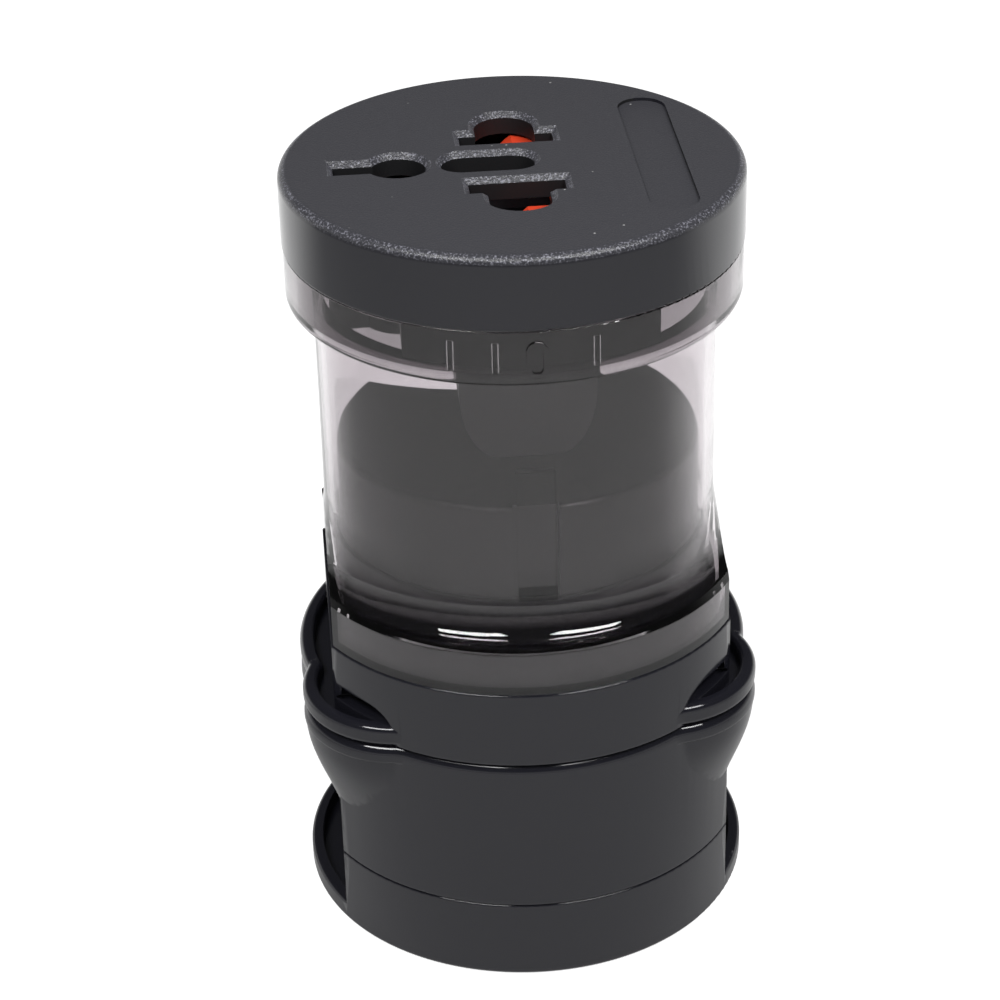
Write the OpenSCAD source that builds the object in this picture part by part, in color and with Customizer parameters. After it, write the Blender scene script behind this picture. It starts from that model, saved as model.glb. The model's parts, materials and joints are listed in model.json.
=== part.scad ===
// Travel plug adapter: plug modules kept together as one column.
// From the bottom: pin guard with its base cap, flat-pin adapter, round-pin adapter,
// clear sleeve, and a head with a shuttered socket and two flat blades.
// Z is up, the origin is the centre of the base, and the front is towards -Y.

/* [Column] */
// Radius of the round front and back panels
panel_r = 25.4; // [25:0.1:27]
// How far the side flats stand in from the panels' radius
flat_in = 3.5; // [2.8:0.1:4]
// Thickness of the moulded outer walls
wall = 1.6; // [1.2:0.1:2]
// Clearance between modules that pull apart
fit_gap = 0.35; // [0.25:0.05:0.5]
// Clearance between pieces of one module
seat_gap = 0.1; // [0.05:0.05:0.2]
// Rounding at the seams between modules
seam_r = 0.3; // [0.2:0.05:0.5]

/* [Base cap] */
// Height of the base cap
base_h = 9.6; // [8:0.1:12]
// Thickness of its floor
base_floor = 1.2; // [0.8:0.1:1.6]
// Height of the rim at the sides
rim_h = 2.6; // [1.8:0.1:3]
// Width of that rim
rim_w = 1.3; // [1.2:0.1:1.6]
// Rounding of the rim and the foot
rim_r = 0.6; // [0.3:0.1:0.6]
// Thickness of the floor in the side hollows
rim_floor = 0.8; // [0.6:0.1:1]

/* [Pin guard] */
// Height of the pin guard
guard_h = 18.7; // [17:0.1:22]
// Height at which its sides start to flare
flare_from = 2.9; // [2:0.1:5]
// Height of the bead at its mouth
bead_h = 2.1; // [2:0.1:2.6]
// Rounding of the bead's upper edge
bead_r = 1.4; // [1:0.1:1.5]
// Step from the bead in to the flare
bead_step = 0.15; // [0.1:0.05:0.3]
// Height of the skirt that sits in the base cap
skirt_h = 4; // [3:0.1:6]

/* [Finger lobes] */
// How far the round flange stands in from the panels' radius
flange_in = 0.1; // [0.1:0.05:0.3]
// Centre of a lobe, to the side and to the front
lobe_x = 14.6; // [14:0.1:15]
lobe_y = 9.5; // [9:0.1:10]
// Radius of a lobe at the guard's waist, less than at the lip by
lobe_taper = 3.5; // [3.5:0.1:4.5]
// Radius of the blend from a lobe to the front panel
blend_r = 7; // [5:0.1:9]
// Radius of the dent between a lobe and the flange
dent_r = 1.5; // [1.2:0.1:3]
// Height of the rolled lip round the shell
lip_h = 2.5; // [2:0.1:3]
// Width of that lip
lip_w = 1.7; // [1.5:0.1:2]
// Rounding of its lower edge
lip_r = 0.9; // [0.5:0.1:1]
// Depth of the hollow behind it
lip_hollow = 1.6; // [1:0.1:1.8]

/* [Flat-pin adapter] */
// Height of the shell between the guard and the sleeve
uk_h = 9; // [8:0.1:11]
// Length of a finger notch, in from the side flat
notch_l = 6; // [5:0.1:7]
// Height of a finger notch above the lip's hollow
notch_h = 3.5; // [3:0.1:4.5]
// Rounding of a finger notch
notch_r = 3; // [2:0.1:3]
// How far a finger notch cuts past the corner of the side flat
notch_past = 0.1; // [0:0.05:0.4]
// Wall left between a finger notch and the side flat
notch_wall = 0.8; // [0.6:0.1:1.2]
// Wall left round the space for its contacts
uk_well_wall = 1; // [0.8:0.1:1.4]
// Thickness of the plug plate
plate_t = 1.2; // [1:0.1:1.6]
// Distance between the two current pins, and from them to the earth pin
uk_pitch = 22.2; // [22.2:0.1:22.3]
// How far the current pins stand from the middle plane
uk_pin_y = 8.5; // [8:0.1:9]
// Width of a current pin
uk_pin_w = 6.35; // [6.2:0.05:6.5]
// Thickness of all three pins
uk_pin_t = 4; // [3.9:0.05:4.1]
// Length of a current pin
uk_pin_l = 17.7; // [17:0.1:18.2]
// Width of the earth pin
earth_pin_w = 8; // [7.9:0.05:8.1]
// Length of the earth pin
earth_pin_l = 22.7; // [22:0.1:23.2]
// Space left past the end of a pin
tip_room = 0.4; // [0.3:0.1:1]

/* [Round-pin adapter] */
// Height of the body
eu_h = 11.2; // [10.5:0.1:13]
// Rounding of its upper edge
eu_edge_r = 0.6; // [0.3:0.1:0.8]
// Where the sloping back starts behind the middle
slope_y = 7.2; // [6:0.1:8]
// Radius to which the start of the sloping back is swept
sweep_r = 36; // [30:0.5:50]
// Fall of the sloping back for each millimetre
slope_fall = 0.75; // [0.6:0.05:0.85]
// Wall of the body round its inside
eu_wall = 3.2; // [3:0.1:4]
// Distance between the two round pins
eu_pitch = 19; // [18.6:0.1:19.2]
// Diameter of a round pin
eu_pin_d = 4.8; // [4:0.1:4.8]
// Length of a round pin
eu_pin_l = 19; // [18.5:0.1:19.5]
// Space left past the end of a round pin
eu_tip_room = 1.5; // [0.6:0.1:2]

/* [Clear sleeve] */
// Height of the whole sleeve
sleeve_h = 42.2; // [40:0.1:48]
// Height of the band at its foot
band_h = 5.7; // [5:0.1:7]
// Step from the panels in to the band
band_step = 0.2; // [0.1:0.05:0.4]
// Height and width of the slope at the top of the band
slope_h = 0.7; // [0.4:0.1:1]
slope_w = 0.45; // [0.3:0.05:0.6]
// Wall of the band
band_wall = 1.3; // [1.1:0.1:1.5]
// How far the tube stands in from the band's side flats
tube_set = 0.12; // [0.1:0.02:1]
// Height of the hollow curve above the band
cove_h = 7; // [6:0.1:9]
// Space between the tube and the body in it
tube_gap = 0.6; // [0.4:0.1:0.9]
// Wall of the tube
tube_wall = 1.1; // [0.9:0.1:1.5]
// Height of the collar
collar_h = 6.2; // [5:0.1:8]
// Step from the head in to the collar
collar_step = 0.1; // [0.05:0.05:0.4]
// Wall of the collar
collar_wall = 1.2; // [1:0.1:1.5]
// Rounding of its lower edge
collar_edge_r = 0.9; // [0.4:0.1:1]
// Width of the key rail inside the front
rail_w = 4; // [3:0.1:6]
// How far the key rail stands in from the tube
rail_t = 0.9; // [0.6:0.1:1.2]
// Height to which the key rail rises above the round-pin body
rail_rise = 4.5; // [3:0.1:9]

/* [Head] */
// How far the head stands in from the panels' radius
cap_in = 0.9; // [0.2:0.1:1.2]
// Height of the socket cap
cap_h = 8.1; // [7.5:0.1:10]
// Wall of the socket cap
cap_wall = 2; // [1.6:0.1:2.2]
// Thickness of the socket face
face_t = 2.4; // [2:0.1:2.8]
// Rounding of the upper edge
cap_edge_r = 1.1; // [0.6:0.1:1.5]
// Bevel round the socket holes
bevel = 0.6; // [0.4:0.1:0.8]
// Thickness of the carrier's plate
carrier_t = 1.5; // [1.2:0.1:1.8]
// Half width of the carrier's block in the collar
block_x = 12.8; // [12:0.1:14]
// Half width of the boss below the block
boss_x = 7.1; // [6.6:0.1:8]
// Half width of the boss at its lower end
keel_x = 3; // [2.4:0.1:3.6]
// Half length of the boss, front to back
boss_y = 13.6; // [13.4:0.1:14.4]
// Height of the boss's rounded lower part
bowl_h = 7.5; // [6:0.1:8]
// Space between the boss and the round-pin body
boss_gap = 2.8; // [2:0.1:4]
// Width, thickness and length of a flat blade
blade_w = 6.35; // [6.2:0.05:6.5]
blade_t = 1.5; // [1.4:0.05:1.6]
blade_l = 15.9; // [15.4:0.1:17]

/* [Socket holes] */
// Distance between the current holes
hole_pitch = 12.7; // [12.6:0.05:12.8]
// Length of a current slot
slot_l = 10; // [9.4:0.1:10.4]
// Width of a current slot
slot_w = 3; // [2.6:0.1:3.2]
// Width of the round part of a current hole
dome_w = 6.4; // [6:0.1:6.6]
// How far the round part reaches from the middle
dome_reach = 12.8; // [12.6:0.1:13]
// Distance from the middle to the round earth hole
earth_x = 11.9; // [11.8:0.05:12]
// Radius of the round earth hole
earth_r = 2.9; // [2.7:0.05:3]
// Outer end of the earth slot
earth_end = 18.7; // [17.5:0.1:19]
// Width of the earth slot
earth_w = 2.6; // [2.2:0.1:2.8]
// Ends of the middle hole, left and right
middle_left = 7.4; // [7:0.1:7.5]
middle_right = 2.4; // [2:0.1:3]
// Width of the middle hole
middle_w = 4.6; // [4.4:0.1:4.8]
// Place, width, length and depth of the bare marking recess
mark_x = 15.3; // [14.5:0.1:16]
mark_w = 5.2; // [4:0.1:6]
mark_l = 30; // [24:0.5:32]
mark_depth = 0.35; // [0.2:0.05:0.5]

/* [Shutter] */
// Where the ramps start, left of the middle
ramp_x = 2.1; // [1.8:0.1:2.4]
// Length of a ramp
ramp_l = 3.1; // [2.8:0.1:3.4]
// Inner and outer side of a ramp, from the middle
ramp_in = 6.2; // [6:0.1:7]
ramp_out = 13.2; // [12.8:0.1:13.4]
// Thickness of the shutter's plate
shutter_t = 1.4; // [1:0.1:1.6]
// Left and right edge of the yoke that joins the ramps
yoke_x = 4.3; // [4:0.1:5]
shutter_end = 9.5; // [9:0.1:10]
// Length, radius and wire of the return spring
spring_l = 9; // [8.5:0.1:9.4]
spring_r = 1.2; // [1:0.1:1.3]
spring_wire = 0.4; // [0.3:0.05:0.5]

/* [Hidden] */
$fn = 96;

black = "#1d1d20";
brass = "#b8934a";
steel = "#9a9a98";

// Levels, from the floor up
z_uk = base_h + guard_h;
z_foot = z_uk + uk_h;
z_cap = z_foot + sleeve_h;
z_collar = z_cap - collar_h;
z_top = z_cap + cap_h;
z_plug = base_floor + tip_room + earth_pin_l;
z_plate = z_plug + plate_t;
z_eu = z_plate + eu_tip_room + eu_pin_l;
z_eu_top = z_eu + eu_h;
z_boss = z_eu_top + boss_gap;
z_blade = z_boss - blade_l;

// Outline of the column: side flats and their corners, head, tube and the body in it
flat_x = panel_r - flat_in;
corner_y = sqrt(pow(panel_r, 2) - pow(flat_x, 2));
cap_r = panel_r - cap_in;
band_x = flat_x - band_step;
tube_out = band_x - tube_set;
tube_in = tube_out - tube_wall;
eu_r = tube_in - tube_gap;
eu_well_r = eu_r - eu_wall;

// Lip: a round flange, and a lobe at each front corner that is flush with it at the side
flange_r = panel_r - flange_in;
lobe_r = flange_r - lobe_x;
lobe_off = sqrt(pow(lobe_x, 2) + pow(lobe_y, 2));
lobe_turn = atan2(lobe_x, lobe_y);
ease = 0.06;
roll_r = lip_w / 2 - seat_gap;

// Outline of what goes down into the guard
plug_r = panel_r - wall - fit_gap;
plug_x = flat_x - wall - fit_gap;
uk_well_r = plug_x - uk_well_wall;

// Sleeve radii
band_r = panel_r - band_step;
collar_r = cap_r - collar_step;
collar_in = collar_r - collar_wall;
z_band = z_foot + band_h;
flange_t = collar_wall;
rib_r = 0.4;
rib_t = 0.25;
rib_turns = [-21, -10, 15];

// Screws
screw_r = 1.1;
screw_head_r = 2.1;
screw_head_h = 1.3;
boss_wall = 1.3;
uk_screw = [13.2, 8];
eu_screw_in = 5.68;
eu_screw = [eu_well_r - eu_screw_in, 8.4];
head_screw = [0, 17.6];
screw_l = 5;

// Contacts
sheet = 0.5;
uk_flange = 0.6;
uk_flange_t = 1;
z_uk_strap = z_plate + uk_flange_t;
sleeve_wall = 0.7;
eu_seat = 2;
z_eu_screw = z_eu + screw_head_h + seat_gap;
eu_flange = 1;
eu_flange_t = 1;
eu_roof = 1.6;
leaf_gap = blade_t / 2 + fit_gap;
plinth_end = 2;
plinth_wall = 1.6;
plinth_x = blade_w / 2 + plinth_end;
plinth_y = hole_pitch / 2 + blade_t / 2 + plinth_wall;
plinth_floor = 0.8;
z_plinth = min(z_eu, z_blade - fit_gap - plinth_floor);

// Head inside
carrier_r = min(cap_r - cap_wall - seat_gap, collar_in - rib_t - fit_gap);
z_carrier = z_cap + carrier_t;
z_block = z_collar + flange_t + fit_gap;
z_face = z_top - face_t;
z_head_seat = z_cap - screw_head_h;
pocket_gap = 0.2;
pocket_x = dome_w / 2 + pocket_gap;
pocket_in = hole_pitch / 2 - slot_w / 2 - pocket_gap;
pocket_out = dome_reach + seat_gap;
pocket_floor = 2.6;
root_h = 1;
z_pocket = z_boss + pocket_floor;
tower_r = earth_r + sheet + seat_gap;
tower_wall = 1;
tower_drop = 4.4;
tower_end = earth_end + seat_gap + tower_wall;
tower_half = earth_w / 2 + seat_gap + tower_wall;
z_tower = z_block - tower_drop;
z_shutter = z_carrier + fit_gap;
post_t = 1.5;
post_y = 2.4;
spring_turns = 7;

function smooth(t) = t * t * (3 - 2 * t);

// Round drum on the floor plane, with its lower and upper edge rounded
module drum(r, h, low, high) {
    rotate_extrude() {
        translate([0, low]) square([r, h - low - high]);
        square([r - low, h / 2]);
        translate([0, h / 2]) square([r - high, h / 2]);
        if (low > 0) translate([r - low, low]) circle(low);
        if (high > 0) translate([r - high, h - high]) circle(high);
    }
}

// Drum cut by two side flats, the section shared by the modules
module double_d(r, x, h, low = 0, high = 0) {
    intersection() {
        drum(r, h, low, high);
        translate([-x, -2 * r, -1]) cube([2 * x, 4 * r, h + 2]);
    }
}

// Same section with plain edges
module plain_d(r, x, h) {
    intersection() {
        cylinder(r = r, h = h);
        translate([-x, -2 * r, -1]) cube([2 * x, 4 * r, h + 2]);
    }
}

// Puts a child in each of the two lobe places
module at_lobes() {
    for (s = [-1, 1]) translate([s * lobe_x, -lobe_y, 0]) children();
}

// Hollow blend of radius r between the right lobe and a round wall of radius wall_r
module blend(wall_r, r, way, h, low, high) {
    far = wall_r + r;
    turn = acos((pow(far, 2) + pow(lobe_off, 2) - pow(lobe_r + r, 2)) / (2 * far * lobe_off));
    spot = [far * sin(lobe_turn + way * turn), -far * cos(lobe_turn + way * turn)];
    difference() {
        linear_extrude(height = h) polygon([[0, 0], spot, [lobe_x, -lobe_y]]);
        translate([spot.x, spot.y, 0]) rotate_extrude() {
            translate([0, -1]) square([r + ease, h + 2]);
            difference() {
                square([r + ease + low, low]);
                translate([r + ease + low, low]) circle(low);
            }
            translate([0, h - high]) difference() {
                square([r + ease + high, high]);
                translate([r + ease + high, 0]) circle(high);
            }
        }
    }
}

// Outline of the lips: flange, lobes and blends, with the lower and upper edge rounded
module lip(h, low, high) {
    translate([0, 0, ease]) drum(flange_r, h - 2 * ease, low, high);
    at_lobes() drum(lobe_r, h, low, high);
    for (side = [0, 1]) mirror([side, 0, 0]) {
        blend(panel_r, blend_r, -1, h, low, high);
        blend(flange_r, dent_r, 1, h, low, high);
    }
}

// Hollow of radius r behind a lip, its mouth at z = h rolled over towards the lip
module rolled_hollow(r, h) {
    rotate_extrude() {
        square([r, h]);
        translate([0, h - roll_r]) difference() {
            square([r + roll_r, roll_r]);
            translate([r + roll_r, 0]) circle(roll_r);
        }
    }
}

// Block standing on z = 0, centred in x and y
module block(x, y, h) {
    translate([-x / 2, -y / 2, 0]) cube([x, y, h]);
}

// Flat pin hanging down from z = 0, with a bevelled tip
module flat_pin(x, y, l, tip) {
    translate([0, 0, tip - l]) block(x, y, l - tip);
    translate([0, 0, -l]) intersection() {
        rotate([90, 0, 0]) linear_extrude(height = 2 * y, center = true)
            polygon([[-x / 2 + tip / 2, 0], [x / 2 - tip / 2, 0], [x / 2, tip], [-x / 2, tip]]);
        rotate([90, 0, 90]) linear_extrude(height = 2 * x, center = true)
            polygon([[-y / 2 + tip / 2, 0], [y / 2 - tip / 2, 0], [y / 2, tip], [-y / 2, tip]]);
    }
}

// Round pin hanging down from z = 0, with a domed tip
module round_pin(r, l) {
    rotate_extrude() {
        translate([0, -l + r / 2]) square([r, l - r / 2]);
        translate([0, -l]) square([r / 2, l]);
        intersection() {
            translate([r / 2, -l + r / 2]) circle(r / 2);
            translate([0, -l]) square([r, r]);
        }
    }
}

// Screw pointing up from a head that rests on z = 0
module screw(l) {
    translate([0, 0, -screw_head_h]) cylinder(r = screw_head_r, h = screw_head_h);
    translate([0, 0, -seat_gap]) cylinder(r = screw_r, h = l + seat_gap);
}

// Cross-section of a bevelled mouth for a hole of width w
module bevel_section(w) {
    half = w / 2;
    polygon([[-half, -bevel], [half, -bevel], [half + 2 * bevel, bevel], [-half - 2 * bevel, bevel]]);
}

// Hole below z = 0 for a rectangle, with a bevelled mouth
module box_hole(x, y, depth) {
    translate([0, 0, -depth]) block(x, y, depth + bevel);
    intersection() {
        rotate([90, 0, 0]) linear_extrude(height = y + 6 * bevel, center = true)
            bevel_section(x);
        rotate([90, 0, 90]) linear_extrude(height = x + 6 * bevel, center = true)
            bevel_section(y);
    }
}

// Round hole below z = 0, with a bevelled mouth
module round_hole(r, depth) {
    translate([0, 0, -depth]) cylinder(r = r, h = depth + bevel);
    translate([0, 0, -bevel]) cylinder(r1 = r, r2 = r + 2 * bevel, h = 2 * bevel);
}

// Trough of a given width along +Y from the middle, with bevelled sides
module trough(w, l, depth) {
    translate([-w / 2, 0, -depth]) cube([w, l, depth + bevel]);
    translate([0, l, 0]) rotate([90, 0, 0]) linear_extrude(height = l) bevel_section(w);
}

// Base cap: a round foot with upright front and back walls and a hollow at each side
module base_cap() {
    color(black) difference() {
        union() {
            drum(panel_r, rim_h, rim_r, rim_r);
            translate([0, 0, rim_h / 2]) double_d(panel_r, flat_x, base_h - rim_h / 2, high = seam_r);
        }
        translate([0, 0, base_floor]) plain_d(panel_r - wall, flat_x - wall, base_h);
        translate([0, 0, rim_floor]) difference() {
            cylinder(r = panel_r - rim_w, h = base_h);
            translate([0, 0, -1]) plain_d(panel_r + 1, flat_x, base_h + 2);
        }
    }
}

// Flare of the pin guard, up to a mouth of radius r
module flare(r) {
    flare_h = guard_h - bead_h - flare_from;
    flare_steps = 14;
    rotate_extrude() polygon(concat([[0, flare_from]],
        [for (i = [0 : flare_steps]) let (t = i / flare_steps)
            [r - lobe_taper * (1 - smooth(t)), flare_from + flare_h * t]],
        [[r, guard_h - bead_h / 2], [0, guard_h - bead_h / 2]]));
}

// Pin guard: a tube on the shared section whose sides flare out to the flange and the lobes
module pin_guard() {
    color(black) translate([0, 0, base_h]) difference() {
        union() {
            double_d(panel_r, flat_x, guard_h, seam_r, bead_r);
            flare(flange_r - bead_step);
            at_lobes() flare(lobe_r - bead_step);
            translate([0, 0, guard_h - bead_h]) lip(bead_h, seam_r, bead_r);
            translate([0, 0, -skirt_h])
                plain_d(panel_r - wall - seat_gap, flat_x - wall - seat_gap, skirt_h + wall);
        }
        translate([0, 0, wall]) plain_d(panel_r - wall, flat_x - wall, guard_h);
        translate([0, 0, -skirt_h - 1]) plain_d(panel_r - 2 * wall, flat_x - 2 * wall, skirt_h + wall + 2);
    }
}

// Shape of the sleeve's inside from its foot up, grown or shrunk by off
function sleeve_inside(off) = [for (t = [0 : 7.5 : 90])
    [band_r - band_wall - (band_r - band_wall - tube_in) * sin(t) + off,
     z_band - band_wall + off + (cove_h + band_wall) * (1 - cos(t))]];

// Outside of the sleeve's hollow curve above the sloped edge of the band
function sleeve_cove() = [for (t = [0 : 7.5 : 90])
    [band_r - slope_w - (band_r - slope_w - tube_out) * sin(t), z_band + cove_h * (1 - cos(t))]];

// Flat-pin shell: panels, lobed lip, finger notches, and a spigot for the sleeve
module uk_shell() {
    color(black) difference() {
        union() {
            translate([0, 0, z_uk]) difference() {
                double_d(panel_r, flat_x, uk_h, seam_r, seam_r);
                for (side = [0, 1]) mirror([side, 0, 0]) finger_notch();
            }
            translate([0, 0, z_uk]) difference() {
                lip(lip_h, lip_r, lip_w / 2);
                translate([0, 0, lip_h - lip_hollow]) difference() {
                    union() {
                        rolled_hollow(flange_r - lip_w, lip_hollow + ease);
                        at_lobes() rolled_hollow(lobe_r - lip_w, lip_hollow + ease);
                    }
                    translate([0, 0, -1]) plain_d(panel_r, flat_x, lip_h + 2);
                }
                plain_d(panel_r - wall, flat_x - wall, lip_h + 1);
            }
            translate([0, 0, z_plate]) plain_d(plug_r, plug_x, z_foot - z_plate);
            spigot();
        }
        translate([0, 0, z_plate - 1]) difference() {
            cylinder(r = uk_well_r, h = z_plinth - fit_gap - wall - z_plate + 1);
            for (s = [-1, 1]) translate([s * uk_screw.x, uk_screw.y, 0])
                cylinder(r = screw_r + boss_wall, h = z_eu);
        }
        for (s = [-1, 1]) translate([s * eu_pitch / 2, 0, 0])
            cylinder(r = eu_pin_d / 2 + fit_gap, h = z_eu + 1);
        for (s = [-1, 1]) translate([s * uk_screw.x, uk_screw.y, z_plate - 1])
            cylinder(r = screw_r + seat_gap / 2, h = screw_l + 2);
        translate([0, 0, z_plinth - fit_gap]) block(2 * (plinth_x + fit_gap), 2 * (plinth_y + fit_gap), eu_h);
    }
}

// Notch in a front corner of the flat-pin shell, just above the lip
module finger_notch() {
    low = lip_h - lip_hollow;
    right = flat_x - notch_wall;
    left = flat_x - notch_l;
    translate([0, notch_past - corner_y, low]) rotate([90, 0, 0]) linear_extrude(height = panel_r) {
        translate([left + notch_r, 0]) square([right - left - notch_r, notch_h]);
        translate([left, 0]) square([right - left, notch_h - notch_r]);
        translate([left + notch_r, notch_h - notch_r]) circle(notch_r);
    }
}

// Spigot that fills the sleeve's foot, up to the seat of the round-pin adapter
module spigot() {
    inside = [for (p = sleeve_inside(-fit_gap)) if (p.y < z_eu) p];
    last = inside[len(inside) - 1];
    step = 0.3;
    end_r = max(eu_r, last.x - step);
    intersection() {
        rotate_extrude() polygon(concat([[0, z_foot - wall], [inside[0].x, z_foot - wall]], inside,
            [[min(end_r, last.x), z_eu], [0, z_eu]]));
        translate([-band_x + band_wall + fit_gap, -panel_r, 0])
            cube([2 * (band_x - band_wall - fit_gap), 2 * panel_r, z_eu + 1]);
    }
}

// Plug plate of the flat-pin adapter, with slots for its three pins
module uk_plate() {
    color(black) translate([0, 0, z_plug]) difference() {
        plain_d(plug_r, plug_x, plate_t);
        for (s = [-1, 1]) translate([s * uk_pitch / 2, -uk_pin_y, -1])
            block(uk_pin_w + 2 * seat_gap, uk_pin_t + 2 * seat_gap, plate_t + 2);
        translate([0, uk_pitch - uk_pin_y, -1])
            block(uk_pin_t + 2 * seat_gap, earth_pin_w + 2 * seat_gap, plate_t + 2);
        for (s = [-1, 1]) translate([s * uk_screw.x, uk_screw.y, -1])
            cylinder(r = screw_r + seat_gap, h = plate_t + 2);
    }
}

// Current pin of the flat-pin adapter, with a flange that rests on the plug plate
module uk_current_pin(side) {
    color(brass) translate([side * uk_pitch / 2, -uk_pin_y, z_plate]) {
        flat_pin(uk_pin_w, uk_pin_t, uk_pin_l + plate_t, uk_pin_t / 2);
        block(uk_pin_w + 2 * uk_flange, uk_pin_t + 2 * uk_flange, uk_flange_t);
    }
}

module uk_live_pin() uk_current_pin(1);
module uk_neutral_pin() uk_current_pin(-1);

// Moulded earth pin
module uk_earth_pin() {
    color(black) translate([0, uk_pitch - uk_pin_y, z_plate]) {
        flat_pin(uk_pin_t, earth_pin_w, earth_pin_l + plate_t, uk_pin_t / 2);
        block(uk_pin_t + 2 * uk_flange, earth_pin_w + 2 * uk_flange, uk_flange_t);
    }
}

// Strap from a current pin to the split sleeve that takes a round pin
module uk_contact(side) {
    bore = eu_pin_d / 2 + fit_gap;
    strap_w = 2 * (bore + sleeve_wall);
    roof = z_plinth - fit_gap - wall - seat_gap;
    color(brass) difference() {
        union() {
            translate([side * eu_pitch / 2, 0, z_uk_strap])
                cylinder(r = bore + sleeve_wall, h = roof - z_uk_strap);
            translate([side * eu_pitch / 2 - strap_w / 2, -uk_pin_y - uk_pin_t / 2, z_uk_strap])
                cube([strap_w, uk_pin_y + uk_pin_t / 2, sleeve_wall]);
        }
        translate([side * eu_pitch / 2, 0, 0]) cylinder(r = bore, h = z_eu);
        translate([side * eu_pitch / 2, bore, z_uk_strap + sleeve_wall]) block(sleeve_wall, 2 * bore, z_eu);
    }
}

module uk_live_contact() uk_contact(1);
module uk_neutral_contact() uk_contact(-1);

module uk_screws() {
    color(steel) for (s = [-1, 1]) translate([s * uk_screw.x, uk_screw.y, z_plug]) screw(plate_t + screw_l);
}

// Space behind the sloping back of the round-pin body, lowered by drop
module behind_slope(drop) {
    translate([0, slope_y + sweep_r, z_eu_top - drop - eu_h])
        cylinder(r1 = sweep_r - eu_h / slope_fall, r2 = sweep_r, h = eu_h);
    translate([0, slope_y + sweep_r, z_eu_top - drop - ease]) cylinder(r = sweep_r, h = eu_h);
}

// Round-pin body: a drum with a sloping back, a key groove and two blade slots
module eu_body() {
    color(black) difference() {
        translate([0, 0, z_eu]) drum(eu_r, eu_h, seam_r, eu_edge_r);
        behind_slope(0);
        translate([0, 0, z_eu - 1]) difference() {
            cylinder(r = eu_well_r, h = eu_h - eu_roof + 1);
            translate([0, 0, 1 - z_eu]) behind_slope(eu_roof);
            for (s = [-1, 1]) translate([s * eu_screw.x, -eu_screw.y, eu_seat + 1 + seat_gap])
                cylinder(r = screw_r + boss_wall, h = eu_h);
        }
        for (s = [-1, 1]) translate([s * eu_screw.x, -eu_screw.y, z_eu])
            cylinder(r = screw_r + seat_gap / 2, h = eu_seat + screw_l + 1);
        for (s = [-1, 1]) translate([0, s * hole_pitch / 2, z_eu])
            block(blade_w + 2 * fit_gap, blade_t + 2 * fit_gap, eu_h + 1);
        translate([-rail_w / 2 - fit_gap, -eu_r - rail_t, z_eu - 1])
            cube([rail_w + 2 * fit_gap, 2 * rail_t + 2 * fit_gap - tube_gap, eu_h + 2]);
    }
}

// Plate that closes the round-pin body, with a plinth for the blade tips
module eu_plate() {
    color(black) difference() {
        union() {
            translate([0, 0, z_eu]) cylinder(r = eu_well_r - seat_gap, h = eu_seat);
            if (z_plinth < z_eu) translate([0, 0, z_plinth])
                block(2 * plinth_x, 2 * plinth_y, z_eu - z_plinth + eu_seat / 2);
        }
        for (s = [-1, 1]) translate([0, s * hole_pitch / 2, z_plinth + plinth_floor])
            block(blade_w + 2 * fit_gap, blade_t + 2 * fit_gap, eu_h);
        for (s = [-1, 1]) translate([s * eu_pitch / 2, 0, z_eu - 1])
            cylinder(r = eu_pin_d / 2 + seat_gap, h = eu_seat + 2);
        for (s = [-1, 1]) translate([s * eu_screw.x, -eu_screw.y, z_eu - 1]) {
            cylinder(r = screw_r + seat_gap, h = eu_seat + 2);
            cylinder(r = screw_head_r + seat_gap, h = z_eu_screw - z_eu + 1);
        }
    }
}

// Round pin with a flange that rests on the plate
module eu_pin(side) {
    color(brass) translate([side * eu_pitch / 2, 0, z_eu + eu_seat]) {
        round_pin(eu_pin_d / 2, eu_pin_l + eu_seat);
        cylinder(r = eu_pin_d / 2 + eu_flange, h = eu_flange_t);
    }
}

module eu_live_pin() eu_pin(1);
module eu_neutral_pin() eu_pin(-1);

// Pair of leaves round a blade slot, with a foot on the pin's flange
module eu_contact(turn) {
    leaf_end = 1;
    leaf_room = 2;
    leaf_top = eu_h - eu_roof - eu_seat - eu_flange_t - leaf_room;
    bridge_x = blade_w / 2 + leaf_end - sheet;
    foot_x = eu_pitch / 2 + eu_pin_d / 2;
    y = -hole_pitch / 2;
    color(brass) rotate([0, 0, turn]) translate([0, 0, z_eu + eu_seat + eu_flange_t]) {
        for (s = [-1, 1]) translate([-blade_w / 2, y + s * (leaf_gap + sheet / 2) - sheet / 2, 0])
            cube([blade_w + leaf_end, sheet, leaf_top]);
        translate([bridge_x, y - leaf_gap - sheet, 0]) cube([sheet, 2 * (leaf_gap + sheet), leaf_top]);
        translate([bridge_x, y + leaf_gap, 0])
            cube([foot_x - bridge_x, eu_pin_d / 2 - y - leaf_gap, sheet]);
    }
}

module eu_live_contact() eu_contact(0);
module eu_neutral_contact() eu_contact(180);

module eu_screws() {
    color(steel) for (s = [-1, 1]) translate([s * eu_screw.x, -eu_screw.y, z_eu_screw])
        screw(z_eu + eu_seat - z_eu_screw + screw_l);
}

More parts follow.
